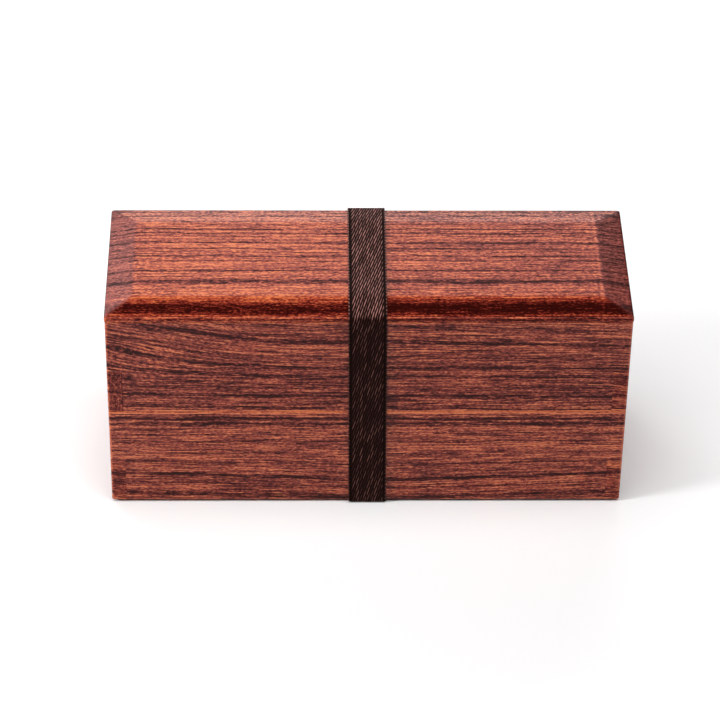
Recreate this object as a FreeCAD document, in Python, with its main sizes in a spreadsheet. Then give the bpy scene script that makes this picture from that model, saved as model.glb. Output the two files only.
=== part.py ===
import FreeCAD, Part
import os
import Sketcher

# A two-tier wooden lunch box with a bevelled lid, held shut by an elastic band.
# Millimetres. +X runs along the box, +Y to its back, +Z up. The origin is under the
# middle of the box, on the surface that the band's bottom run stands on.

DIMENSIONS = {
    "box_length": 205.0,        # the lid, end to end
    "box_depth": 72.0,          # the lid, front to back
    "lower_height": 45.5,       # boards of the lower tier
    "upper_height": 44.5,       # boards of the upper tier
    "lower_inset": 0.2,         # how far the lower tier stands inside the lid's outline
    "upper_inset": 0.2,         # the same for the upper tier
    "wall": 6.0,                # thickness of every board of a tier
    "finger_height": 20.4,      # height of the end boards' fingers, which fill the corners' lower part
    "corner_round": 0.9,        # upright corners
    "arris_round": 0.35,        # long edges, only just broken
    "seam_round": 0.75,         # lower edge of the upper tier's end boards, more worn
    "floor_top": 4.5,           # a floor's top, above its boards' lower edge
    "floor_rise": 0.5,          # the lower floor's underside, above its boards' lower edge
    "spigot_drop": 2.5,         # how far the upper floor drops into the lower tier's mouth
    "spigot_round": 0.8,
    "mouth_gap": 0.4,           # play of the spigot and of the battens in a tier's mouth
    "groove_bottom": 1.5,       # floor groove, above the boards' lower edge
    "groove_width": 2.5,
    "groove_depth": 2.5,
    "tongue_gap": 0.1,          # left behind a floor's tongue for the wood to move
    "lid_edge": 2.1,            # upright edge of the lid
    "bevel_drop": 2.1,          # height of the lid's bevel
    "bevel_run": 11.0,          # width of the lid's bevel
    "bevel_round": 12.0,        # where the bevels meet the top and each other
    "batten_width": 9.0,
    "batten_drop": 4.0,
    "batten_round": 1.0,
    "divider_place": 22.0,      # the divider's middle, right of the box's middle
    "divider_thickness": 4.0,
    "divider_rise": 34.0,
    "divider_gap": 0.5,         # play of the divider between the front and back boards
    "divider_round": 5.0,       # its upper corners
    "slide_gap": 0.1,           # under the divider
    "band_width": 15.0,
    "band_thickness": 0.9,
    "band_gap": 0.1,            # between the band and the lid
    "lap_bottom": 22.0,         # the sewn lap at the back, above the ground
    "lap_length": 14.0,
    "stitch_length": 1.9,
    "stitch_pitch": 2.6,
    "stitch_width": 0.4,
    "stitch_proud": 0.2,
    "stitch_inset": 2.0,        # rows of stitches, in from the lap's ends
}

STITCHES_PER_ROW = 5
SAME = 1e-4                     # lengths and volumes closer than this are the same

# Lengths that several pieces share, as expressions on the dimension sheet.
WOOD_BOTTOM = "(dims.band_thickness + dims.band_gap)"
LOWER_TOP = f"({WOOD_BOTTOM} + dims.lower_height)"
UPPER_TOP = f"({LOWER_TOP} + dims.upper_height)"
LID_THICKNESS = "(dims.lid_edge + dims.bevel_drop)"
GROOVE_TOP = "(dims.groove_bottom + dims.groove_width)"
TONGUE = "(dims.groove_depth - dims.tongue_gap)"

doc = FreeCAD.newDocument("lunch_box")


def make_sheet():
    sheet = doc.addObject("Spreadsheet::Sheet", "dims")
    for row, (alias, value) in enumerate(DIMENSIONS.items(), start=1):
        sheet.set(f"A{row}", alias)
        sheet.set(f"B{row}", str(value))
        sheet.setAlias(f"B{row}", alias)
    doc.recompute()


def outer(size, inset):
    """A tier's length or depth outside its boards."""
    return f"(dims.{size} - 2 * dims.{inset})"


def mouth(size, inset):
    """A tier's length or depth inside its boards."""
    return f"(dims.{size} - 2 * dims.{inset} - 2 * dims.wall)"


# ---------------------------------------------------------------- modelling helpers


def new_body(name):
    body = doc.addObject("PartDesign::Body", name)
    body.Label = name
    return body


def sketch_on(body, name, role, offset="0"):
    """An empty sketch on one of the body's own origin planes, offset along the plane's normal."""
    sketch = body.newObject("Sketcher::SketchObject", f"{body.Name}_{name}")
    plane = next(f for f in body.Origin.OriginFeatures if f.Role == role)
    sketch.AttachmentSupport = [(plane, "")]
    sketch.MapMode = "FlatFace"
    sketch.setExpression("AttachmentOffset.Base.z", offset)
    return sketch


def hold(sketch, line, kind, axis, wanted):
    """Tie one coordinate of a line's first point to an expression."""
    value = float(sketch.evalExpression(wanted))
    if abs(value) < SAME:
        sketch.addConstraint(Sketcher.Constraint("PointOnObject", line, 1, axis))
    else:
        index = sketch.addConstraint(Sketcher.Constraint(kind, -1, 1, line, 1, value))
        sketch.setExpression(f"Constraints[{index}]", wanted)


def add_polygon(sketch, corners):
    """A closed outline through corners, each a pair of expressions."""
    places = []
    for across, up in corners:
        x, y = sketch.evalExpression(across), sketch.evalExpression(up)
        places.append(FreeCAD.Vector(x, y, 0))
    lines = []
    for here, there in zip(places, places[1:] + places[:1]):
        lines.append(sketch.addGeometry(Part.LineSegment(here, there), False))
    for line, after in zip(lines, lines[1:] + lines[:1]):
        sketch.addConstraint(Sketcher.Constraint("Coincident", line, 2, after, 1))
    for line, (across, up) in zip(lines, corners):
        hold(sketch, line, "DistanceX", -2, across)
        hold(sketch, line, "DistanceY", -1, up)


def add_centred_rectangle(sketch, width, depth):
    add_rectangle(sketch, f"-{width} / 2", f"{width} / 2", f"-{depth} / 2", f"{depth} / 2")


def add_rectangle(sketch, left, right, low, high):
    add_polygon(sketch, [(left, low), (right, low), (right, high), (left, high)])


def volume(body):
    return body.Shape.Volume if body.Tip else 0.0


def extrude(body, kind, sketch, length, both_ways=False, reverse=False):
    """A Pad or a Pocket, which must change the body's volume."""
    doc.recompute()
    before = volume(body)
    feature = body.newObject(f"PartDesign::{kind}", f"{sketch.Name}_{kind.lower()}")
    feature.Profile = sketch
    feature.SideType = "Symmetric" if both_ways else "One side"
    feature.Reversed = reverse
    feature.setExpression("Length", length)
    doc.recompute()
    if abs(volume(body) - before) < SAME:
        raise RuntimeError(f"{feature.Name} changed nothing")


def round_edges(body, name, radius, wanted):
    """Fillet the edges for which wanted(middle, direction) is true."""
    rounded = body.Tip
    names = []
    for number, edge in enumerate(rounded.Shape.Edges, start=1):
        along = edge.Vertexes[-1].Point - edge.Vertexes[0].Point
        if along.Length > SAME and wanted(edge.BoundBox.Center, along.normalize()):
            names.append(f"Edge{number}")
    if not names:
        raise RuntimeError(f"{body.Name}_{name} found no edge")
    feature = body.newObject("PartDesign::Fillet", f"{body.Name}_{name}")
    feature.Base = (rounded, names)
    feature.setExpression("Radius", radius)
    doc.recompute()


def is_near(value, wanted):
    return abs(value - wanted) < SAME


def size_of(expression):
    """What an expression comes to, for picking edges by where they lie."""
    return float(doc.getObject("dims").evalExpression(expression))


def place(body, x="0", y="0", z="0", turn=0.0):
    upright = FreeCAD.Vector(0, 0, 1)
    body.Placement = FreeCAD.Placement(FreeCAD.Vector(), FreeCAD.Rotation(upright, turn))
    body.setExpression("Placement.Base.x", x)
    body.setExpression("Placement.Base.y", y)
    body.setExpression("Placement.Base.z", z)


# ---------------------------------------------------------------- boards of the tiers


def board_outline(length, inner, height, low_fingers):
    """A board seen from outside, with one finger at each end, low or high."""
    finger = "dims.finger_height"
    low, high = (length, inner) if low_fingers else (inner, length)
    right = [(f"{low} / 2", "0"), (f"{low} / 2", finger), (f"{high} / 2", finger), (f"{high} / 2", height)]
    left = [(f"-{across}", up) for across, up in reversed(right)]
    return right + left


def make_board(name, length, inner, height, low_fingers, bottom_round):
    """One board of a tier: outer face at y = 0, inner face at y = wall, lower edge at z = 0."""
    body = new_body(name)
    outline = sketch_on(body, "outline", "XZ_Plane")
    add_polygon(outline, board_outline(length, inner, height, low_fingers))
    extrude(body, "Pad", outline, "dims.wall", reverse=True)

    groove = sketch_on(body, "groove", "XZ_Plane", "-dims.wall")
    add_rectangle(groove, f"-{inner} / 2", f"{inner} / 2", "dims.groove_bottom", GROOVE_TOP)
    extrude(body, "Pocket", groove, "dims.groove_depth", reverse=True)

    end, top, wall = size_of(f"{length} / 2"), size_of(height), size_of("dims.wall")

    def is_upright_corner(middle, along):
        return is_near(abs(along.z), 1) and is_near(middle.y, 0) and is_near(abs(middle.x), end)

    def is_bottom_edge(middle, along):
        round_end = is_near(abs(middle.x), end) and is_near(abs(along.y), 1)
        front = is_near(middle.y, 0) and is_near(abs(along.x), 1)
        return is_near(middle.z, 0) and (front or round_end)

    def is_top_edge(middle, along):
        long_edge = is_near(abs(along.x), 1)
        round_end = is_near(abs(middle.x), end) and is_near(abs(along.y), 1)
        return is_near(middle.z, top) and (long_edge or round_end)

    round_edges(body, "corners", "dims.corner_round", is_upright_corner)
    round_edges(body, "bottom_arris", bottom_round, is_bottom_edge)
    round_edges(body, "top_arris", "dims.arris_round", is_top_edge)
    return body


def make_tier_boards(tier, inset, height, base, end_round):
    """The four boards of a tier. Front and back boards hold the corners' upper part, the ends the rest."""
    long_sizes = outer("box_length", inset), mouth("box_length", inset)
    end_sizes = outer("box_depth", inset), mouth("box_depth", inset)
    half_length = f"{long_sizes[0]} / 2"
    half_depth = f"{end_sizes[0]} / 2"
    front = make_board(f"{tier}_front_board", *long_sizes, height, False, "dims.arris_round")
    back = make_board(f"{tier}_back_board", *long_sizes, height, False, "dims.arris_round")
    left = make_board(f"{tier}_left_board", *end_sizes, height, True, end_round)
    right = make_board(f"{tier}_right_board", *end_sizes, height, True, end_round)
    place(front, y=f"-{half_depth}", z=base)
    place(right, x=half_length, z=base, turn=90)
    place(back, y=half_depth, z=base, turn=180)
    place(left, x=f"-{half_length}", z=base, turn=270)
    return [front, back, left, right]


# ---------------------------------------------------------------- floors


def add_floor_panel(body, inset, bottom):
    """The panel between the boards and its tongues, one pair along each side, clipped at the corners."""
    length, depth = mouth("box_length", inset), mouth("box_depth", inset)
    panel = sketch_on(body, "panel", "XY_Plane", bottom)
    add_centred_rectangle(panel, length, depth)
    extrude(body, "Pad", panel, f"dims.floor_top - ({bottom})")
    tongue_sizes = {
        "end_tongues": (f"({length} + 2 * {TONGUE})", depth),
        "long_tongues": (length, f"({depth} + 2 * {TONGUE})"),
    }
    for name, (across, along) in tongue_sizes.items():
        sketch = sketch_on(body, name, "XY_Plane", "dims.groove_bottom")
        add_centred_rectangle(sketch, across, along)
        extrude(body, "Pad", sketch, "dims.groove_width")


def make_lower_floor():
    body = new_body("lower_floor")
    add_floor_panel(body, "lower_inset", "dims.floor_rise")
    place(body, z=WOOD_BOTTOM)
    return body


def make_upper_floor():
    """The upper floor also stands proud below its boards, and plugs into the lower tier."""
    body = new_body("upper_floor")
    add_floor_panel(body, "upper_inset", "0")
    spigot = sketch_on(body, "spigot", "XY_Plane")
    length = f"({mouth('box_length', 'upper_inset')} - 2 * dims.mouth_gap)"
    depth = f"({mouth('box_depth', 'upper_inset')} - 2 * dims.mouth_gap)"
    add_centred_rectangle(spigot, length, depth)
    extrude(body, "Pad", spigot, "dims.spigot_drop", reverse=True)
    round_edges(body, "spigot_round", "dims.spigot_round", lambda middle, along: middle.z < -SAME)
    place(body, z=LOWER_TOP)
    return body


# ---------------------------------------------------------------- lid and divider


def make_lid_board():
    """A plain edge, then a bevel on all four sides, mitred at the corners."""
    body = new_body("lid_board")
    edge = sketch_on(body, "edge", "XY_Plane")
    add_centred_rectangle(edge, "dims.box_length", "dims.box_depth")
    extrude(body, "Pad", edge, "dims.lid_edge")
    foot = sketch_on(body, "bevel_foot", "XY_Plane", "dims.lid_edge")
    add_centred_rectangle(foot, "dims.box_length", "dims.box_depth")
    flat = sketch_on(body, "flat", "XY_Plane", LID_THICKNESS)
    flat_length = "(dims.box_length - 2 * dims.bevel_run)"
    flat_depth = "(dims.box_depth - 2 * dims.bevel_run)"
    add_centred_rectangle(flat, flat_length, flat_depth)
    loft = body.newObject("PartDesign::AdditiveLoft", "lid_board_bevel")
    loft.Profile = foot
    loft.Sections = [flat]
    doc.recompute()

    edge_top = size_of("dims.lid_edge")
    round_edges(body, "bevel_round", "dims.bevel_round", lambda middle, along: middle.z > edge_top + SAME)

    def is_rim(middle, along):
        upright = is_near(abs(along.z), 1)
        return upright or is_near(middle.z, edge_top)

    round_edges(body, "rim_round", "dims.corner_round", is_rim)
    round_edges(body, "lower_arris", "dims.arris_round", lambda middle, along: is_near(middle.z, 0))
    place(body, z=UPPER_TOP)
    return body


def make_batten(name, side):
    """A strip across the lid's underside, glued on, that locates the lid in the upper tier's mouth."""
    body = new_body(name)
    outline = sketch_on(body, "outline", "XY_Plane")
    length = f"({mouth('box_depth', 'upper_inset')} - 2 * dims.mouth_gap)"
    add_centred_rectangle(outline, "dims.batten_width", length)
    extrude(body, "Pad", outline, "dims.batten_drop", reverse=True)
    round_edges(body, "round", "dims.batten_round", lambda middle, along: middle.z < -SAME)
    reach = f"({mouth('box_length', 'upper_inset')} / 2 - dims.mouth_gap - dims.batten_width / 2)"
    place(body, x=f"{side} * {reach}", z=UPPER_TOP)
    return body


def make_divider():
    """A loose board that stands across the upper tier."""
    body = new_body("divider")
    outline = sketch_on(body, "outline", "YZ_Plane")
    half = f"({mouth('box_depth', 'upper_inset')} / 2 - dims.divider_gap)"
    add_rectangle(outline, f"-{half}", half, "0", "dims.divider_rise")
    extrude(body, "Pad", outline, "dims.divider_thickness", both_ways=True)
    top = size_of("dims.divider_rise")

    def is_upper_corner(middle, along):
        return is_near(abs(along.x), 1) and is_near(middle.z, top)

    def is_top_arris(middle, along):
        return is_near(abs(along.y), 1) and is_near(middle.z, top)

    round_edges(body, "corners", "dims.divider_round", is_upper_corner)
    round_edges(body, "top_arris", "dims.arris_round", is_top_arris)
    place(body, x="dims.divider_place", z=f"{LOWER_TOP} + dims.floor_top + dims.slide_gap")
    return body


# ---------------------------------------------------------------- elastic band


def band_outline(offset):
    """The box's section with its bevelled lid, grown by offset, as corners from the bottom left."""
    slope = "sqrt(dims.bevel_run ^ 2 + dims.bevel_drop ^ 2)"
    side = f"(dims.box_depth / 2 + {offset})"
    bottom = f"({WOOD_BOTTOM} - {offset})"
    rise = f"{offset} * ({slope} - dims.bevel_drop) / dims.bevel_run"
    spread = f"{offset} * ({slope} - dims.bevel_run) / dims.bevel_drop"
    edge = f"({UPPER_TOP} + dims.lid_edge + {rise})"
    flat = f"(dims.box_depth / 2 - dims.bevel_run + {spread})"
    top = f"({UPPER_TOP} + {LID_THICKNESS} + {offset})"
    right = [(side, bottom), (side, edge), (flat, top)]
    left = [(f"-{across}", up) for across, up in reversed(right)]
    return right + left


def make_elastic_band():
    """A closed loop of flat elastic, doubled at the back where its ends are sewn together."""
    body = new_body("elastic_band")
    offsets = {"inside": "dims.band_gap", "outside": "(dims.band_gap + dims.band_thickness)"}
    outside = sketch_on(body, "outside", "YZ_Plane")
    add_polygon(outside, band_outline(offsets["outside"]))
    extrude(body, "Pad", outside, "dims.band_width", both_ways=True)
    inside = sketch_on(body, "inside", "YZ_Plane")
    add_polygon(inside, band_outline(offsets["inside"]))
    extrude(body, "Pocket", inside, "dims.band_width", both_ways=True)

    folds = {
        "bottom": ("dims.arris_round", 0),
        "edge": ("dims.corner_round", 1),
        "bevel": ("dims.bevel_round", 2),
    }
    for fold, (wood_round, corner) in folds.items():
        for side, offset in offsets.items():
            height = size_of(band_outline(offset)[corner][1])

            def is_fold(middle, along):
                return is_near(abs(along.x), 1) and is_near(middle.z, height)

            round_edges(body, f"{fold}_{side}", f"{wood_round} + {offset}", is_fold)

    lap = sketch_on(body, "lap", "YZ_Plane")
    back = "(dims.box_depth / 2 + dims.band_gap)"
    lap_top = "dims.lap_bottom + dims.lap_length"
    add_rectangle(lap, back, f"{back} + 2 * dims.band_thickness", "dims.lap_bottom", lap_top)
    extrude(body, "Pad", lap, "dims.band_width", both_ways=True)
    return body


def make_band_stitching():
    """Two rows of thread across the lap, near its ends."""
    rows = {
        "low": "dims.lap_bottom + dims.stitch_inset",
        "high": "dims.lap_bottom + dims.lap_length - dims.stitch_inset - dims.stitch_width",
    }
    lap_face = "dims.box_depth / 2 + dims.band_gap + 2 * dims.band_thickness"
    stitches = []
    for row, up in rows.items():
        for number in range(STITCHES_PER_ROW):
            from_middle = number - (STITCHES_PER_ROW - 1) / 2
            left_end = f"{from_middle} * dims.stitch_pitch - dims.stitch_length / 2"
            stitch = doc.addObject("Part::Box", f"stitch_{row}_{number + 1}")
            stitch.setExpression("Length", "dims.stitch_length")
            stitch.setExpression("Width", "dims.stitch_proud")
            stitch.setExpression("Height", "dims.stitch_width")
            stitch.setExpression("Placement.Base.x", left_end)
            stitch.setExpression("Placement.Base.y", lap_face)
            stitch.setExpression("Placement.Base.z", up)
            stitches.append(stitch)
    group = doc.addObject("Part::Compound", "band_stitching")
    group.Label = "band_stitching"
    group.Links = stitches
    return group


# ---------------------------------------------------------------- build and write


def make_pieces():
    lower = make_tier_boards("lower", "lower_inset", "dims.lower_height", WOOD_BOTTOM, "dims.arris_round")
    upper = make_tier_boards("upper", "upper_inset", "dims.upper_height", LOWER_TOP, "dims.seam_round")
    floors = [make_lower_floor(), make_upper_floor()]
    lid = [make_lid_board(), make_batten("lid_left_batten", -1), make_batten("lid_right_batten", 1)]
    band = [make_elastic_band(), make_band_stitching()]
    return lower + upper + floors + lid + [make_divider()] + band


def check(pieces):
    doc.recompute()
    for thing in doc.Objects:
        if "Invalid" in thing.State or "Error" in thing.State:
            raise RuntimeError(f"{thing.Name} failed: {thing.State}")
    for piece in pieces:
        if piece.Shape.isNull() or not piece.Shape.isValid():
            raise RuntimeError(f"{piece.Label} has no valid shape")


def write(pieces):
    os.makedirs("parts", exist_ok=True)
    for piece in pieces:
        piece.Shape.exportStep(f"parts/{piece.Label}.step")
        box = piece.Shape.BoundBox
        print(
            f"{piece.Label:20} solids {len(piece.Shape.Solids):2}  volume {piece.Shape.Volume:9.1f}"
            f"  x {box.XMin:7.2f} {box.XMax:7.2f}  y {box.YMin:6.2f} {box.YMax:6.2f}"
            f"  z {box.ZMin:6.2f} {box.ZMax:6.2f}"
        )


make_sheet()
PIECES = make_pieces()
check(PIECES)
write(PIECES)
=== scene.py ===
import math
import random

import bmesh
import bpy
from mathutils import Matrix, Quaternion, Vector


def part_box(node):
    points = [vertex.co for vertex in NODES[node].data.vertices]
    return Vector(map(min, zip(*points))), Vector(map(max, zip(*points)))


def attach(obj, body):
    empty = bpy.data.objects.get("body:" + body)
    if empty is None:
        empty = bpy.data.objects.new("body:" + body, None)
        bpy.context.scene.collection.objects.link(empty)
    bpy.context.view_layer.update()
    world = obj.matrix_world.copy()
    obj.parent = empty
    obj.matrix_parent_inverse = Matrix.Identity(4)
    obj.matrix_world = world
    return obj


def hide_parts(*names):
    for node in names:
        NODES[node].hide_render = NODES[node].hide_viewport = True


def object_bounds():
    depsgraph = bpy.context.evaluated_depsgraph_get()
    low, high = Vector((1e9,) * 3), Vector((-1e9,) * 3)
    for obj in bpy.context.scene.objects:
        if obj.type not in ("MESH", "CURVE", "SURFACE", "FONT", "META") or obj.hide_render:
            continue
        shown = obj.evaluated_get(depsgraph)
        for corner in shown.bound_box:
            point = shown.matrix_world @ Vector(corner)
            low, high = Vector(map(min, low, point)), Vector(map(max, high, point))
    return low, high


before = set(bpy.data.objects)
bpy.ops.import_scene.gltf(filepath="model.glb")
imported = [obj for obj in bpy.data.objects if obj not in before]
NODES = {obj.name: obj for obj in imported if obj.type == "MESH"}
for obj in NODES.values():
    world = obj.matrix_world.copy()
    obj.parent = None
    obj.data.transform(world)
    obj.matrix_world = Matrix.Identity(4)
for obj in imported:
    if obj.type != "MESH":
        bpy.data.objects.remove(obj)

CAD_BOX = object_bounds()

# A two-tier wooden lunch box with a bevelled lid and an elastic band, in metres.
# The CAD boards keep their meshes and get wood materials. The band and its
# stitching are rebuilt as a woven strip and real thread.

MM = 0.001


def size_of(node):
    low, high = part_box(node)
    return high - low


def box_of(names):
    """Lowest and highest corners of several nodes together."""
    boxes = [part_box(name) for name in names]
    low = Vector([min(box[0][axis] for box in boxes) for axis in range(3)])
    high = Vector([max(box[1][axis] for box in boxes) for axis in range(3)])
    return low, high


# ---------------------------------------------------------------- camera and light

OBJECT_MIDDLE = (Vector(CAD_BOX[0]) + Vector(CAD_BOX[1])) / 2


def aim(thing, place, target, roll=0.0):
    """Put a camera or light at place, pointing at target, then turned about its own axis."""
    thing.location = place
    facing = (target - place).to_track_quat("-Z", "Y")
    thing.rotation_mode = "QUATERNION"
    thing.rotation_quaternion = facing @ Quaternion((0, 0, 1), roll)


def from_angles(azimuth, elevation, distance):
    """A vector from the object: azimuth 0 is in front of it (-Y), 90 is to its right."""
    turn, rise = math.radians(azimuth), math.radians(elevation)
    flat = math.cos(rise) * distance
    return Vector((math.sin(turn) * flat, -math.cos(turn) * flat, math.sin(rise) * distance))


def make_camera():
    data = bpy.data.cameras.new("camera")
    data.lens = 162.3
    data.sensor_width = 36.0
    data.clip_start = 0.05
    data.clip_end = 20.0
    camera = bpy.data.objects.new("camera", data)
    bpy.context.scene.collection.objects.link(camera)
    target = OBJECT_MIDDLE + Vector((-2.45, -2.10, -2.55)) * MM
    place = target + from_angles(-1.552, 38.218, 1.3091)
    aim(camera, place, target, roll=math.radians(0.962))
    bpy.context.scene.camera = camera


def make_light(name, azimuth, elevation, distance, size, power):
    data = bpy.data.lights.new(name, "AREA")
    data.shape = "RECTANGLE"
    data.size, data.size_y = size
    data.energy = power
    light = bpy.data.objects.new(name, data)
    bpy.context.scene.collection.objects.link(light)
    aim(light, from_angles(azimuth, elevation, distance), Vector((0, 0, 0.03)))


# Each light: azimuth and elevation in degrees, distance, (width, height) in metres, watts.
LIGHTS = {
    "key": (-72, 29, 1.3, (0.26, 0.26), 9.0),
    "back_low": (-170, 20, 1.6, (1.8, 0.5), 7.6),
    "back_high": (-170, 36, 1.6, (1.8, 0.5), 5.8),
    "left_back": (-140, 32, 1.6, (0.9, 0.7), 3.0),
    "overhead": (0, 86, 1.4, (1.0, 0.8), 4.8),
    "overhead_wide": (0, 78, 1.5, (1.6, 1.0), 6.4),
    "front_top": (8, 66, 1.5, (1.2, 0.6), 1.8),
    "left_soft": (-80, 55, 1.5, (0.9, 0.9), 1.8),
    "left_front": (-50, 50, 1.5, (0.9, 0.9), 0.4),
    "right_front": (50, 50, 1.5, (0.9, 0.9), 2.0),
    "right_soft": (80, 58, 1.6, (0.8, 0.8), 3.0),
}


def make_lights():
    for name, (azimuth, elevation, distance, size, power) in LIGHTS.items():
        make_light(name, azimuth, elevation, distance, size, power)
    world = bpy.data.worlds.new("studio")
    world.use_nodes = True
    world.node_tree.nodes["Background"].inputs["Color"].default_value = (1, 1, 1, 1)
    world.node_tree.nodes["Background"].inputs["Strength"].default_value = 0.02
    bpy.context.scene.world = world


def make_floor():
    bpy.ops.mesh.primitive_plane_add(size=12.0, location=(0, 0, -0.0002))
    floor = bpy.context.object
    floor.name = "floor"
    graph = Graph("floor_paper")
    tone = graph.noise(graph.object_mm(), scale=0.004, detail=2)
    graph.colour(graph.mix(graph.fit(tone, 0.3, 0.7, 0, 1), (0.945, 0.945, 0.945), (0.96, 0.96, 0.96)))
    graph.set("Roughness", 0.6)
    graph.set("Specular IOR Level", 0.15)
    floor.data.materials.append(graph.material)


# ---------------------------------------------------------------- node helpers


class Graph:
    """A material's node tree, built by small calls that return sockets."""

    def __init__(self, name):
        self.material = bpy.data.materials.new(name)
        self.material.use_nodes = True
        self.tree = self.material.node_tree
        self.shader = self.tree.nodes["Principled BSDF"]

    def node(self, kind, inputs=(), **settings):
        made = self.tree.nodes.new(kind)
        for name, value in settings.items():
            setattr(made, name, value)
        for socket, value in dict(inputs).items():
            self.feed(made.inputs[socket], value)
        return made

    def feed(self, socket, value):
        if isinstance(value, bpy.types.NodeSocket):
            self.tree.links.new(value, socket)
        elif isinstance(value, tuple) and len(socket.default_value) == 4:
            socket.default_value = (*value, 1.0)
        else:
            socket.default_value = value

    def math(self, operation, first, second=0.0, third=0.0, clamp=False):
        made = self.node("ShaderNodeMath", operation=operation, use_clamp=clamp)
        for socket, value in zip(made.inputs, (first, second, third)):
            self.feed(socket, value)
        return made.outputs[0]

    def add(self, *values):
        total = values[0]
        for value in values[1:]:
            total = self.math("ADD", total, value)
        return total

    def times(self, first, second):
        return self.math("MULTIPLY", first, second)

    def fit(self, value, low, high, to_low=0.0, to_high=1.0, smooth=False):
        kind = "SMOOTHSTEP" if smooth else "LINEAR"
        inputs = {0: value, 1: low, 2: high, 3: to_low, 4: to_high}
        return self.node("ShaderNodeMapRange", inputs, interpolation_type=kind, clamp=True).outputs[0]

    def swap(self, when, first, second):
        """The two values, exchanged where when is 1."""
        change = self.times(self.math("SUBTRACT", second, first), when)
        return self.add(first, change), self.math("SUBTRACT", second, change)

    def mix(self, factor, first, second):
        made = self.node("ShaderNodeMix", data_type="RGBA")
        for index, value in ((0, factor), (6, first), (7, second)):
            self.feed(made.inputs[index], value)
        return made.outputs[2]

    def object_mm(self):
        """The place in the object's own frame, in millimetres."""
        place = self.node("ShaderNodeTexCoord").outputs["Object"]
        return self.vector("SCALE", place, scale=1 / MM)

    def vector(self, operation, first, second=None, scale=None):
        made = self.node("ShaderNodeVectorMath", operation=operation)
        self.feed(made.inputs[0], first)
        if second is not None:
            self.feed(made.inputs[1], second)
        if scale is not None:
            self.feed(made.inputs["Scale"], scale)
        return made.outputs[0]

    def split(self, vector):
        return list(self.node("ShaderNodeSeparateXYZ", {0: vector}).outputs)

    def join(self, x, y, z):
        return self.node("ShaderNodeCombineXYZ", {0: x, 1: y, 2: z}).outputs[0]

    def noise(self, place, scale=1.0, detail=2.0, roughness=0.5):
        inputs = {"Vector": place, "Scale": scale, "Detail": detail, "Roughness": roughness}
        return self.node("ShaderNodeTexNoise", inputs).outputs[0]

    def ramp(self, value, stops, interpolation="LINEAR"):
        made = self.node("ShaderNodeValToRGB", {0: value})
        ramp = made.color_ramp
        ramp.interpolation = interpolation
        while len(ramp.elements) < len(stops):
            ramp.elements.new(0.5)
        for element, (place, colour) in zip(ramp.elements, stops):
            element.position = place
            element.color = (*colour, 1.0)
        return made.outputs[0]

    def set(self, socket, value):
        self.feed(self.shader.inputs[socket], value)

    def colour(self, value):
        self.set("Base Color", value)

    def bump(self, height, strength, distance):
        inputs = {"Height": height, "Strength": strength, "Distance": distance}
        self.set("Normal", self.node("ShaderNodeBump", inputs).outputs[0])


# ---------------------------------------------------------------- lacquered wood

# Albedo of the wiped lacquer, from pore-dark to the orange of the hardest latewood.
WOOD_STOPS = (
    (0.00, (0.026, 0.0024, 0.0016)),
    (0.25, (0.080, 0.0074, 0.0048)),
    (0.50, (0.205, 0.023, 0.013)),
    (0.75, (0.400, 0.062, 0.026)),
    (1.00, (0.690, 0.175, 0.058)),
)


class Board:
    """What makes one board's wood its own. Places are in millimetres in the object's frame.

    grain is the axis that the fibres run along, and face the axis across them on the main face.
    rings are (place, half width, depth) along face: the dark porous part of each growth ring.
    bright are the same for thin light lines, and the next list the same for straight lines along an edge,
    lighter partly from wear and partly as a painted highlight where the edge catches the light.
    tones are (place, lightness) along face.
    bend shifts the rings, shade lightens or darkens, gain is how strong the streaks are, and dull is
    how much of the shine is missing. All four take (graph, x, y, z).

    fine is the width of the finest streaks. fuzzy, wild and lined are how strong the fine streaks,
    the coarser ones and the hairlines are. depth is how dark the pores are. skin is where the main
    face lies on the third axis, because the rings lean a little as they go into the board.
    end_streaks is for a board whose sawn ends show level streaks instead of clotted end grain.
    """

    def __init__(
        self, grain, face, edges, seed, rings, bright=(), rubbed=(), tones=((0, 0.5),), bend=None,
        shade=None, gain=None, dull=None, fine=0.38, fuzzy=0.41, wild=0.24, lined=0.18, depth=0.82,
        skin=0.0, end_streaks=False
    ):
        self.grain, self.face, self.edges, self.seed = grain, face, edges, seed
        self.rings, self.bright, self.rubbed, self.tones = rings, bright, rubbed, tones
        self.bend, self.shade, self.gain, self.dull = bend, shade, gain, dull
        self.fine, self.fuzzy, self.wild, self.lined = fine, fuzzy, wild, lined
        self.depth, self.skin, self.end_streaks = depth, skin, end_streaks


def random_rings(seed, low, high):
    """Growth rings across a board that no one has looked at closely."""
    dice = random.Random(seed)
    rings, place = [], low + dice.uniform(0, 4)
    while place < high:
        rings.append((place, dice.uniform(0.5, 1.5), dice.uniform(0.4, 1.0)))
        place += dice.uniform(3.5, 9.0)
    return rings


def line_mask(graph, across, lines):
    """How far into one of the lines a point is, from 0 to the line's depth."""
    total = 0.0
    for place, half_width, depth in lines:
        gap = graph.math("ABSOLUTE", graph.math("SUBTRACT", across, place))
        pulse = graph.fit(gap, half_width * 1.2, half_width * 0.4, 0.0, depth, smooth=True)
        total = graph.math("MAXIMUM", pulse, total)
    return total


def edge_mask(graph, place, low, high, reach):
    """1 on the edges of a box, where two of its faces meet, and 0 away from them."""
    gaps = []
    for axis, value in enumerate(graph.split(place)):
        middle = (low[axis] + high[axis]) / 2 / MM
        half = (high[axis] - low[axis]) / 2 / MM
        away = graph.math("ABSOLUTE", graph.math("SUBTRACT", value, middle))
        gaps.append(graph.math("SUBTRACT", half, away))
    nearer = graph.math("MINIMUM", gaps[0], gaps[1])
    further = graph.math("MAXIMUM", gaps[0], gaps[1])
    second = graph.math("MAXIMUM", nearer, graph.math("MINIMUM", further, gaps[2]))
    return graph.fit(second, reach, 0.1, 0.0, 1.0, smooth=True)


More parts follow.
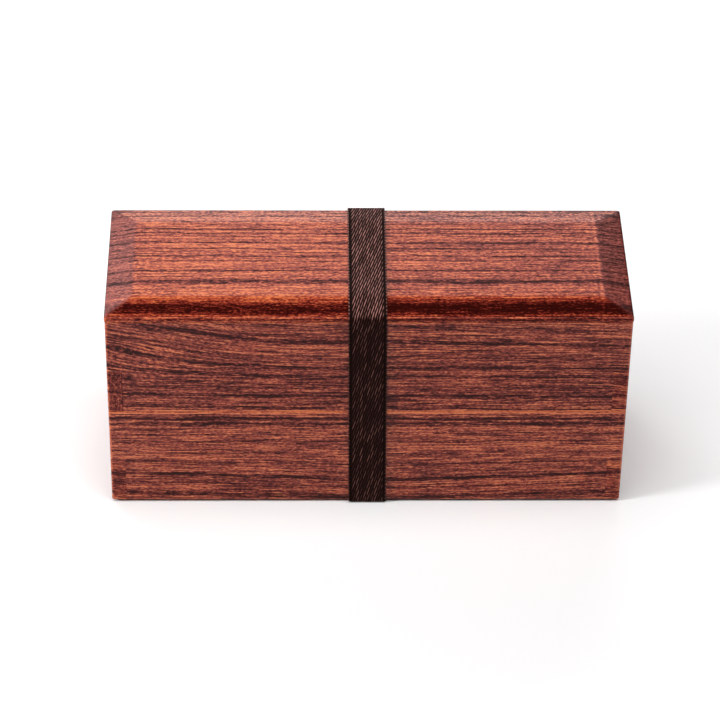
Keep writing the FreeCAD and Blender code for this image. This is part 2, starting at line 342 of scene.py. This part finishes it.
def profile(graph, value, stops):
    """A number that follows (place, number) stops along value."""
    if len(stops) == 1:
        return stops[0][1]
    first, last = stops[0][0], stops[-1][0]
    greys = [((place - first) / (last - first), (number, number, number)) for place, number in stops]
    return graph.ramp(graph.fit(value, first, last), greys)


def hairlines(graph, noise):
    """Thin lines that wander along the grain, where a stretched noise crosses its middle value."""
    return graph.fit(graph.math("ABSOLUTE", graph.math("SUBTRACT", noise, 0.5)), 0.035, 0.010, 0.0, 1.0)


def wood(name, board, gloss=0.5):
    """Open-pored wood under wiped lacquer, which sinks into the pores and leaves them dull."""
    graph = Graph(name)
    place = graph.object_mm()
    x, y, z = graph.split(place)
    axes = {"X": x, "Y": y, "Z": z}
    along, across = axes[board.grain], axes[board.face]
    deep = axes[({"X", "Y", "Z"} - {board.grain, board.face}).pop()]
    shift = 37.0 * board.seed
    normal = graph.node("ShaderNodeTexCoord").outputs["Normal"]
    end_grain = graph.math("ABSOLUTE", dict(zip("XYZ", graph.split(normal)))[board.grain])
    lean = graph.times(graph.math("SUBTRACT", deep, board.skin), 0.10)
    if board.end_streaks:
        along, deep = graph.swap(graph.math("GREATER_THAN", end_grain, 0.7), along, deep)
    slow = graph.noise(graph.join(graph.times(along, 0.016), graph.times(across, 0.05), shift), detail=1)
    flow = graph.add(across, graph.fit(slow, 0, 1, -1.1, 1.1), lean)
    if board.bend:
        flow = graph.add(flow, board.bend(graph, x, y, z))
    quick = graph.noise(graph.join(graph.times(along, 0.14), graph.times(across, 0.4), shift), detail=2)
    ring_place = graph.add(flow, graph.fit(quick, 0, 1, -0.7, 0.7))

    def stretched(length, width, offset):
        """A place squeezed so that noise of size 1 comes out as long thin streaks."""
        return graph.join(
            graph.add(graph.times(along, 1 / length), shift + offset),
            graph.times(flow, 1 / width),
            graph.times(deep, 1 / width),
        )

    fibre = graph.noise(stretched(15.0, board.fine, 1.0), detail=2, roughness=0.65)
    speck = graph.noise(stretched(1.25, board.fine * 1.2, 3.0), detail=2)
    streak = graph.noise(stretched(28.0, board.fine * 1.75, 5.0), detail=2, roughness=0.6)
    zone = graph.noise(stretched(60.0, 6.0, 9.0))
    dark_hair = hairlines(graph, graph.noise(stretched(50.0, 1.5, 17.0), detail=1))
    light_hair = hairlines(graph, graph.noise(stretched(40.0, 1.8, 25.0), detail=1))
    breaks = graph.noise(stretched(10.0, 2.5, 13.0))

    ring = line_mask(graph, ring_place, board.rings)
    light_line = line_mask(graph, flow, board.bright)
    # Straight lines along edges and seams, made lighter: partly wear, partly a painted highlight where the
    # edges catch the light.
    rubbed = graph.times(line_mask(graph, across, board.rubbed), graph.fit(streak, 0.35, 0.6, 0.3, 1.2))
    porous = graph.times(ring, graph.fit(breaks, 0.28, 0.50, 0.45, 1.0))

    def pores(length, width, offset):
        inputs = {"Vector": stretched(length, width, offset), "Scale": 1.0}
        cells = graph.node("ShaderNodeTexVoronoi", inputs)
        dice = graph.split(cells.outputs["Color"])[0]
        chosen = graph.math("LESS_THAN", dice, graph.fit(porous, 0.0, 1.0, 0.04, 1.0))
        return graph.times(graph.fit(cells.outputs["Distance"], 0.65, 0.35, 0, 1, smooth=True), chosen)

    pore = graph.math("MAXIMUM", pores(4.5, 0.8, 1.0), graph.times(pores(1.9, 0.6, 7.0), 0.75))

    side_grain, mottle = 1.0, 0.0
    if not board.end_streaks:
        side_grain = graph.fit(end_grain, 0.9, 0.5, 0.55, 1.0)
        clots = graph.noise(graph.join(graph.times(deep, 0.8), graph.times(across, 0.5), shift), detail=2)
        mottle = graph.times(graph.fit(end_grain, 0.5, 0.9), graph.fit(clots, 0.3, 0.7, -0.3, 0.2))

    # The box edges are made lighter: partly wear, partly a painted highlight where the rounded edges catch
    # the key light.
    edge_wear_and_highlight = edge_mask(graph, place, *board.edges, reach=1.2)
    texture = graph.add(
        graph.fit(fibre, 0.30, 0.70, -board.fuzzy, board.fuzzy),
        graph.fit(speck, 0.30, 0.70, -0.33, 0.33),
        graph.fit(streak, 0.30, 0.70, -board.wild, board.wild),
        graph.times(dark_hair, -board.lined),
        graph.times(light_hair, board.lined * 0.6),
        graph.times(pore, -0.42 * board.depth),
        graph.times(porous, -0.36 * board.depth),
    )
    if board.gain:
        texture = graph.times(texture, board.gain(graph, x, y, z))
    value = graph.add(
        profile(graph, across, board.tones),
        graph.times(texture, side_grain),
        mottle,
        graph.fit(zone, 0.3, 0.7, -0.07, 0.07),
        graph.times(light_line, 0.45),
        graph.times(rubbed, 0.34),
        graph.times(edge_wear_and_highlight, 0.34),
    )
    if board.shade:
        value = graph.add(value, board.shade(graph, x, y, z))
    graph.colour(graph.ramp(value, WOOD_STOPS))
    rough = graph.add(0.40, graph.fit(streak, 0.3, 0.7, 0.06, -0.06), graph.times(pore, 0.3))
    graph.set("Roughness", rough)
    graph.set("Specular IOR Level", 0.0)
    shine = graph.times(graph.fit(value, 0.12, 0.60, 0.35, 1.0), gloss)
    if board.dull:
        shine = graph.times(shine, graph.math("SUBTRACT", 1.0, board.dull(graph, x, y, z)))
    graph.set("Coat Weight", shine)
    graph.set("Coat Roughness", 0.22)
    height = graph.add(graph.times(pore, -1.0), graph.times(fibre, 0.5), graph.times(streak, 0.4))
    graph.bump(height, 0.5, 0.00006)
    return graph.material


def paint(node, material):
    mesh = NODES[node].data
    mesh.materials.clear()
    mesh.materials.append(material)


BEVEL_RUN = 11.0              # mm from the lid's edge to the flat of its top
RIM_HEIGHT = 2.1              # mm of upright edge below the lid's bevel


def lid_board_wood(edges):
    """Rings nearly upright in the board, so its top shows them as straight lines from end to end."""
    half_length, half_depth = edges[1].x / MM, edges[1].y / MM
    bevel, rim_top = BEVEL_RUN, edges[0].z / MM + RIM_HEIGHT
    # How much stain the front bevel holds, as (place, share) from the lid's front edge to its ridge.
    front_stain = [
        (-36.0, 0.44), (-35.2, 0.56), (-34.2, 0.84), (-33.0, 0.97), (-30.0, 1.0), (-28.4, 0.82),
        (-27.0, 0.56), (-25.9, 0.32), (-24.8, 0.06), (-24.3, 0.0),
    ]

    def facets(graph, x, y):
        """1 on the end bevels, and 1 on the front and back bevels, which meet them at a mitre."""
        out_x = graph.math("SUBTRACT", graph.math("ABSOLUTE", x), half_length - bevel)
        out_y = graph.math("SUBTRACT", graph.math("ABSOLUTE", y), half_depth - bevel)
        mitre = graph.fit(graph.math("SUBTRACT", out_x, out_y), -0.5, 0.5)
        ends = graph.math("MINIMUM", graph.fit(out_x, -0.5, 1.2), mitre)
        return ends, graph.math("SUBTRACT", 1.0, mitre)

    def stained(graph, x, y):
        """The stain's share at a place, which ends at the mitres."""
        return graph.times(profile(graph, y, front_stain), facets(graph, x, y)[1])

    def shade(graph, x, y, z):
        """The bevels took more stain, the front and right ones most, and their ridges are lighter from
        wear. The lid also darkens towards the right as painted shade, away from the key light on the left.
        """
        ends, _ = facets(graph, x, y)
        # Painted shade: the lid gets darker towards its right end, away from the key light on the left.
        right_side_painted_shade = graph.fit(x, -30.0, 50.0, 0.0, -0.12)
        upright = graph.fit(z, rim_top + 0.4, rim_top - 0.1, 0.0, -0.10)
        from_ridge = graph.math("ABSOLUTE", graph.add(x, bevel + 0.6 - half_length))
        strip = graph.fit(from_ridge, 1.0, 0.3, 0.0, 0.14)
        return graph.add(
            graph.times(stained(graph, x, y), graph.fit(x, -20.0, 20.0, -0.38, -0.44)),
            graph.times(ends, graph.fit(x, -10.0, 10.0, -0.22, -0.25)),
            right_side_painted_shade, upright, strip,
        )

    def gain(graph, x, y, z):
        """The stain sank unevenly into the streaks of the long bevels. The end bevels are smoother."""
        ends, sides = facets(graph, x, y)
        ridge = half_depth - bevel
        back = graph.times(graph.fit(y, ridge - 0.3, ridge + 2.0, 0.0, 0.45), sides)
        return graph.add(1.0, back, graph.times(stained(graph, x, y), 0.20), graph.times(ends, -0.30))

    def dull(graph, x, y, z):
        """The lacquer soaked in where the front bevel is darkest."""
        return graph.times(stained(graph, x, y), 0.60)

    rings = [
        (-30.5, 2.6, 0.45), (-15.0, 1.4, 0.8), (-11.4, 0.4, 0.4), (-7.9, 0.6, 1.0), (-1.4, 0.5, 0.8),
        (1.6, 0.6, 0.9), (4.5, 0.4, 0.4), (6.7, 0.6, 0.8), (10.7, 0.7, 1.0), (14.8, 0.4, 0.5),
        (16.9, 0.5, 1.0), (19.7, 0.5, 1.0), (22.9, 0.4, 0.4), (24.9, 0.4, 0.3), (29.8, 0.5, 0.8),
        (33.5, 0.6, 0.5),
    ]
    bright = [(-21.0, 0.3, 0.4), (-18.6, 0.3, 0.4), (-34.6, 0.5, 0.5), (14.0, 0.4, 0.3)]
    # The lid's front ridge and its lower front edge: lines lighter partly from wear, partly as a painted
    # highlight.
    rubbed = [(-25.3, 0.5, 0.6), (-35.6, 0.28, 0.9)]
    tones = [
        (-36.0, 0.66), (-24.0, 0.76), (-18.0, 0.72), (-15.0, 0.64), (-11.0, 0.73), (22.0, 0.74),
        (36.0, 0.68),
    ]
    return Board(
        "X", "Y", edges, 1, rings, bright, rubbed, tones, shade=shade, gain=gain, dull=dull,
        fine=0.43, fuzzy=0.28, wild=0.09, lined=0.12, depth=0.80, skin=edges[1].z / MM,
    )


def upper_front_wood(edges):
    half_length = edges[1].x / MM

    def bend(graph, x, y, z):
        """The rings climb towards the left end, the high ones most, and sink a little to the right."""
        left = graph.fit(x, -25.0, -half_length)
        climb = graph.times(graph.math("POWER", left, 1.6), -11.0)
        sink = graph.fit(x, 0.0, half_length, 0.0, 2.2)
        return graph.times(graph.add(climb, sink), graph.fit(z, 60.0, 80.0, 0.12, 1.0))

    rings = [
        (48.5, 0.8, 0.6), (54.5, 0.8, 0.8), (58.5, 0.4, 0.4), (64.4, 0.8, 0.7), (68.8, 0.9, 0.8),
        (74.0, 0.5, 0.3), (81.6, 1.1, 0.9), (84.0, 0.4, 0.4), (89.0, 0.5, 0.6),
    ]
    bright = [(66.9, 0.3, 0.3), (78.5, 0.4, 0.3), (86.5, 0.4, 0.3)]
    # Lines just above the seam: lighter partly from wear, partly as a painted highlight on the arris.
    rubbed = [(46.95, 0.4, 0.8), (48.4, 0.3, 0.5)]
    tones = [
        (46.0, 0.56), (50.0, 0.46), (60.0, 0.44), (66.0, 0.46), (76.0, 0.53), (86.0, 0.52),
        (91.0, 0.48),
    ]
    return Board("X", "Z", edges, 2, rings, bright, rubbed, tones, bend=bend, skin=edges[0].y / MM)


def lower_front_wood(edges):
    half_length = edges[1].x / MM

    def bend(graph, x, y, z):
        """The low rings sag in the middle of the board."""
        out = graph.math("POWER", graph.fit(graph.math("ABSOLUTE", x), 0.0, half_length), 1.3)
        return graph.times(graph.times(out, -3.5), graph.fit(z, 34.0, 18.0))

    rings = [
        (2.0, 1.2, 0.6), (7.5, 0.4, 0.4), (11.8, 1.0, 1.0), (19.0, 0.6, 0.5), (24.5, 0.5, 0.4),
        (31.0, 0.5, 0.5), (35.0, 0.4, 0.3), (40.2, 0.8, 0.9), (43.0, 0.8, 0.9),
    ]
    bright = [(5.0, 0.3, 0.35), (9.6, 0.3, 0.35), (21.5, 0.4, 0.3), (28.0, 0.4, 0.3), (38.4, 0.3, 0.5)]
    # The top edge of the lower front at the seam: lighter partly from wear, partly as a painted highlight
    # on the arris.
    rubbed = [(45.6, 0.35, 0.8)]
    tones = [
        (1.0, 0.36), (4.0, 0.50), (16.0, 0.52), (24.0, 0.58), (38.0, 0.58), (41.0, 0.48),
        (44.0, 0.48), (46.5, 0.60),
    ]
    return Board("X", "Z", edges, 3, rings, bright, rubbed, tones, bend=bend, skin=edges[0].y / MM)


def glue_line(inner_face, depth):
    """A shade function: a thin dark joint where an end board's finger meets the long board."""

    def shade(graph, x, y, z):
        gap = graph.math("ABSOLUTE", graph.math("SUBTRACT", graph.math("ABSOLUTE", x), inner_face))
        return graph.fit(gap, 0.35, 0.1, 0.0, -depth)

    return shade


def paint_wood():
    lid = box_of(["lid_board"])
    half_length, half_depth = lid[1].x / MM, lid[1].y / MM
    tiers = {}
    for tier in ("lower", "upper"):
        tiers[tier] = box_of([f"{tier}_{side}_board" for side in ("front", "back", "left", "right")])
    paint("lid_board", wood("lid_wood", lid_board_wood(lid), gloss=0.60))
    paint("upper_front_board", wood("upper_front_wood", upper_front_wood(tiers["upper"]), gloss=0.78))
    paint("lower_front_board", wood("lower_front_wood", lower_front_wood(tiers["lower"]), gloss=0.78))

    seed = 4
    for tier, front in (("lower", lower_front_wood), ("upper", upper_front_wood)):
        low, high = (corner / MM for corner in tiers[tier])
        rings = random_rings(seed, low.z, high.z)
        board = Board("X", "Z", tiers[tier], seed, rings, tones=((0, 0.52),), skin=high.y)
        paint(f"{tier}_back_board", wood(f"{tier}_back_wood", board, gloss=0.6))
        seed += 1
        for side, outside in (("left", low.x), ("right", high.x)):
            name = f"{tier}_{side}_board"
            inner = min(abs(corner.x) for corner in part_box(name)) / MM
            if name == "upper_left_board":
                rings = random_rings(seed, low.z, high.z)
                board = Board("Y", "Z", tiers[tier], seed, rings, tones=((0, 0.47),),
                              shade=glue_line(inner, 0.3), skin=outside)
            else:
                match = front(tiers[tier])
                board = Board("Y", "Z", tiers[tier], seed, match.rings, tones=match.tones, bend=match.bend,
                              shade=glue_line(inner, 0.1), skin=outside, end_streaks=True)
            paint(name, wood(f"{tier}_{side}_wood", board, gloss=0.6))
            seed += 1
        name = f"{tier}_floor"
        rings = random_rings(seed, -half_depth, half_depth)
        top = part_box(name)[1].z / MM
        board = Board("X", "Y", box_of([name]), seed, rings, tones=((0, 0.56),), skin=top)
        paint(name, wood(f"{tier}_floor_wood", board))
        seed += 1
    for name in ("lid_left_batten", "lid_right_batten"):
        low, high = (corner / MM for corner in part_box(name))
        rings = random_rings(seed, low.x, high.x)
        board = Board("Y", "X", box_of([name]), seed, rings, tones=((0, 0.55),), skin=low.z)
        paint(name, wood(f"{name}_wood", board))
        seed += 1
    low, high = (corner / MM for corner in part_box("divider"))
    rings = random_rings(seed, low.z, high.z)
    board = Board("Y", "Z", box_of(["divider"]), seed, rings, tones=((0, 0.56),), skin=low.x)
    paint("divider", wood("divider_wood", board))


# ---------------------------------------------------------------- elastic band

BAND_WIDTH = size_of("elastic_band").x
BAND_GAP = 0.1 * MM
WOODEN_NODES = [name for name in NODES if name not in ("elastic_band", "band_stitching")]
STITCH_LOW, STITCH_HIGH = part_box("band_stitching")
LAP_INSET = 2.0 * MM          # from each row of stitches to the lap's nearer end
BAND_THICKNESS = (STITCH_LOW.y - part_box("lid_board")[1].y - BAND_GAP) / 2
STEP = 0.42 * MM              # between two rows of the band's mesh
RIB_PITCH = 0.965             # mm across the band from one twill rib to the next
RIB_RUN = 3.44                # mm along the band in which a rib crosses one pitch
COLUMN_PITCH = 1.445          # mm across the band between the places where threads dive under
CHAIN_PITCH = 1.9             # mm between the loops of the woven edge
EDGE = 1.0                    # mm that the woven edge is wide


def wrapped_line(offset):
    """The closed line that a taut band takes round the boards, as (y, z) points from the back upward."""
    corners = set()
    for name in WOODEN_NODES:
        corners |= {(round(v.co.y, 5), round(v.co.z, 5)) for v in NODES[name].data.vertices}
    line = []
    turns = 720
    for turn in range(turns):
        angle = 2 * math.pi * turn / turns
        out = Vector((math.cos(angle), math.sin(angle)))
        furthest = max(corners, key=lambda corner: corner[0] * out.x + corner[1] * out.y)
        line.append(Vector(furthest) + out * offset)
    return line


def walk(line, step):
    """Points a step apart along a closed line."""
    points, carried = [], 0.0
    for start, end in zip(line, line[1:] + line[:1]):
        length = (end - start).length
        while carried < length:
            points.append(start.lerp(end, carried / length))
            carried += step
        carried -= length
    return points


def band_stations():
    """(middle of the band's thickness, outward direction, distance) along the strip, lap included."""
    points = walk(wrapped_line(BAND_GAP + BAND_THICKNESS / 2), STEP)
    on_back = [i for i, point in enumerate(points) if point.x > 0 and point.y > STITCH_LOW.z - LAP_INSET]
    start = min(on_back, key=lambda i: points[i].y)
    points = points[start:] + points[:start]
    lap = round((STITCH_HIGH.z - STITCH_LOW.z + 2 * LAP_INSET) / STEP)
    count = len(points)
    ease = round(5 * MM / STEP)
    stations = []
    for i in range(count + lap):
        along = (points[(i + 1) % count] - points[i % count - 1]).normalized()
        out = Vector((along.y, -along.x))
        lift = min(1.0, max(0.0, (i - count + ease) / ease))
        lift = lift * lift * (3 - 2 * lift) * BAND_THICKNESS
        stations.append((points[i % count] + out * lift, out, i * STEP))
    return stations


def lean(point):
    """How far the band sits off the middle: a little left at the lid's front edge, right at its foot."""
    low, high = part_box("elastic_band")
    forward = (high.y - point.x) / (high.y - low.y)
    return forward * (0.4 - 1.0 * point.y / high.z) * MM


def weave_height(across, along):
    """How proud the threads stand at a place in mm from the left edge and the strip's start, in mm."""
    from_edge = min(across, BAND_WIDTH / MM - across)
    if from_edge < EDGE:
        loop = abs(math.sin(math.pi * along / CHAIN_PITCH))
        crown = math.sin(math.pi * min(1.0, from_edge / EDGE)) ** 0.6
        return crown * (0.02 + 0.13 * loop**0.5) - 0.12 * max(0.0, 1 - from_edge / 0.25) ** 2
    rib = across / RIB_PITCH + along / RIB_RUN
    ridge = abs(math.sin(math.pi * rib)) ** 0.8
    thread = abs(math.sin(math.pi * across / COLUMN_PITCH)) ** 0.4
    return 0.13 * ridge * (0.6 + 0.4 * thread)


def make_band():
    columns = round(BAND_WIDTH / (0.165 * MM))
    mesh = bpy.data.meshes.new("band")
    shape = bmesh.new()
    weave = shape.verts.layers.float_vector.new("weave")
    rows = []
    for middle, out, distance in band_stations():
        centre = lean(middle)
        row = []
        for column in range(columns + 1):
            across = BAND_WIDTH * column / columns
            height = BAND_THICKNESS / 2 - 0.08 * MM + weave_height(across / MM, distance / MM) * MM
            place = middle + out * height
            vertex = shape.verts.new((centre - BAND_WIDTH / 2 + across, place.x, place.y))
            vertex[weave] = (across / MM, distance / MM, 1.0)
            row.append(vertex)
        for across in (BAND_WIDTH, 0.0):
            place = middle - out * BAND_THICKNESS / 2
            vertex = shape.verts.new((centre - BAND_WIDTH / 2 + across, place.x, place.y))
            vertex[weave] = (across / MM, distance / MM, 0.0)
            row.append(vertex)
        rows.append(row)
    for first, second in zip(rows, rows[1:]):
        for a, b, c, d in zip(first, first[1:] + first[:1], second[1:] + second[:1], second):
            shape.faces.new((a, b, c, d))
    shape.faces.new(rows[0])
    shape.faces.new(reversed(rows[-1]))
    bmesh.ops.recalc_face_normals(shape, faces=shape.faces)
    shape.to_mesh(mesh)
    shape.free()
    for face in mesh.polygons:
        face.use_smooth = len(face.vertices) == 4
    band = bpy.data.objects.new("woven_band", mesh)
    bpy.context.scene.collection.objects.link(band)
    mesh.materials.append(band_material())
    return band


def band_material():
    """Dark brown twill: slanted ribs of floating threads between looped edges."""
    graph = Graph("elastic_twill")
    weave = graph.node("ShaderNodeAttribute", attribute_name="weave").outputs["Vector"]
    across, along, _ = graph.split(weave)
    from_edge = graph.math("MINIMUM", across, graph.math("SUBTRACT", BAND_WIDTH / MM, across))
    rib = graph.add(graph.times(across, 1 / RIB_PITCH), graph.times(along, 1 / RIB_RUN))
    number = graph.math("FLOOR", rib)
    ridge = graph.math("ABSOLUTE", graph.math("SINE", graph.times(rib, math.pi)))
    turn = graph.times(across, 1 / COLUMN_PITCH)
    thread = graph.math("ABSOLUTE", graph.math("SINE", graph.times(turn, math.pi)))
    cell = graph.join(number, graph.math("FLOOR", turn), 0.0)
    dice = graph.node("ShaderNodeTexWhiteNoise", {"Vector": cell})
    fuzz = graph.noise(graph.join(graph.times(across, 6.0), graph.times(along, 2.0), 0.0), detail=2)

    loop = graph.math("ABSOLUTE", graph.math("SINE", graph.times(along, math.pi / CHAIN_PITCH)))
    # Painted shade: the groove between the woven edge and the ribs is darkened, as shade falls into it.
    groove_shade = graph.fit(graph.math("ABSOLUTE", graph.math("SUBTRACT", from_edge, EDGE)), 0.40, 0.10)
    in_edge = graph.math("LESS_THAN", from_edge, EDGE)

    top = graph.times(graph.fit(ridge, 0.58, 0.97), graph.fit(thread, 0.05, 0.6, 0.55, 1.0))
    body = graph.times(top, graph.fit(dice.outputs[0], 0.0, 1.0, 0.6, 1.0))
    # The loops of the woven edge, with its outer rim kept lighter as a painted highlight on the rounded
    # rim.
    edge = graph.times(graph.fit(loop, 0.6, 0.95, 0.80, 0.30), graph.fit(from_edge, 0.50, 0.25, 0.25, 1.0))
    light = graph.node("ShaderNodeMix", {0: in_edge, 2: body, 3: edge}, data_type="FLOAT").outputs[0]
    light = graph.times(light, graph.math("SUBTRACT", 1.0, graph.times(groove_shade, 0.95)))
    # Painted sheen: the band is lighter where it faces up and darker on its upright runs, standing in for
    # the sheen of the light from behind on its fibres.
    upward = graph.split(graph.node("ShaderNodeTexCoord").outputs["Normal"])[2]
    top_sheen_light = graph.times(light, graph.fit(upward, 0.3, 0.9, 0.68, 1.0))
    light = graph.add(top_sheen_light, graph.fit(fuzz, 0.35, 0.65, -0.08, 0.08))
    # The near-black end of this ramp, in the gaps between the ribs, is painted shade between the threads.
    stops = (
        (0.0, (0.0020, 0.0005, 0.0004)),
        (0.45, (0.022, 0.0062, 0.0046)),
        (1.0, (0.420, 0.188, 0.162)),
    )
    graph.colour(graph.ramp(light, stops))
    graph.set("Roughness", graph.fit(light, 0.1, 0.8, 0.85, 0.45))
    graph.set("Specular IOR Level", 0.10)
    graph.set("Specular Tint", (1.0, 0.5, 0.4))
    graph.bump(light, 0.7, 0.00012)
    return graph.material


def tube(shape, path, radius, sides=8):
    """A closed round rod along path in a bmesh, thinner at its two ends."""
    rings = []
    for i, point in enumerate(path):
        before, after = path[max(i - 1, 0)], path[min(i + 1, len(path) - 1)]
        facing = (after - before).to_track_quat("Z", "Y")
        girth = radius * (0.55 if i in (0, len(path) - 1) else 1.0)
        ring = []
        for side in range(sides):
            angle = 2 * math.pi * side / sides
            spoke = Vector((math.cos(angle), math.sin(angle), 0)) * girth
            ring.append(shape.verts.new(point + facing @ spoke))
        rings.append(ring)
    for first, second in zip(rings, rings[1:]):
        for a, b, c, d in zip(first, first[1:] + first[:1], second[1:] + second[:1], second):
            shape.faces.new((a, b, c, d))
    shape.faces.new(reversed(rings[0]))
    shape.faces.new(rings[-1])


def make_stitches():
    """Two rows of two-ply thread through the lap, each stitch arching out of it and back in."""
    pitch, length, plies = 2.6 * MM, 1.9 * MM, 2
    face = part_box("elastic_band")[1].y
    rows = (STITCH_LOW.z + 0.2 * MM, STITCH_HIGH.z - 0.2 * MM)
    dice = random.Random(5)
    shape = bmesh.new()
    for row in rows:
        for number in range(5):
            middle = (number - 2) * pitch + dice.uniform(-0.08, 0.08) * MM
            slant = dice.uniform(-0.12, 0.12) * MM
            for ply in range(plies):
                path = []
                for step in range(13):
                    share = step / 12
                    twist = 2 * math.pi * (share * 1.6 + ply / plies)
                    height = math.sin(math.pi * share) ** 0.5 * 0.32 * MM - 0.18 * MM
                    path.append(Vector((
                        middle + (share - 0.5) * length,
                        face + height + math.cos(twist) * 0.09 * MM,
                        row + slant * (share - 0.5) * 2 + math.sin(twist) * 0.09 * MM,
                    )))
                tube(shape, path, 0.12 * MM)
    mesh = bpy.data.meshes.new("stitches")
    shape.to_mesh(mesh)
    shape.free()
    for face_ in mesh.polygons:
        face_.use_smooth = True
    stitches = bpy.data.objects.new("lap_stitches", mesh)
    bpy.context.scene.collection.objects.link(stitches)
    mesh.materials.append(thread_material())
    return stitches


def thread_material():
    graph = Graph("spun_thread")
    fibre = graph.noise(graph.vector("MULTIPLY", graph.object_mm(), (4.0, 9.0, 9.0)), detail=2)
    graph.colour(graph.mix(graph.fit(fibre, 0.35, 0.65), (0.012, 0.006, 0.005), (0.085, 0.045, 0.036)))
    graph.set("Roughness", 0.5)
    graph.set("Sheen Weight", 0.2)
    graph.bump(fibre, 0.5, 0.00005)
    return graph.material


def dress_band():
    band, stitches = make_band(), make_stitches()
    length = band_stations()[-1][2]
    stand_ins = (
        (band, "elastic_band", "elastic_webbing"),
        (stitches, "band_stitching", "sewing_thread"),
    )
    for piece, node, slot in stand_ins:
        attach(piece, "band")
        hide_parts(node)


make_camera()
make_lights()
make_floor()
paint_wood()
dress_band()

bpy.context.scene.view_settings.view_transform = "Standard"
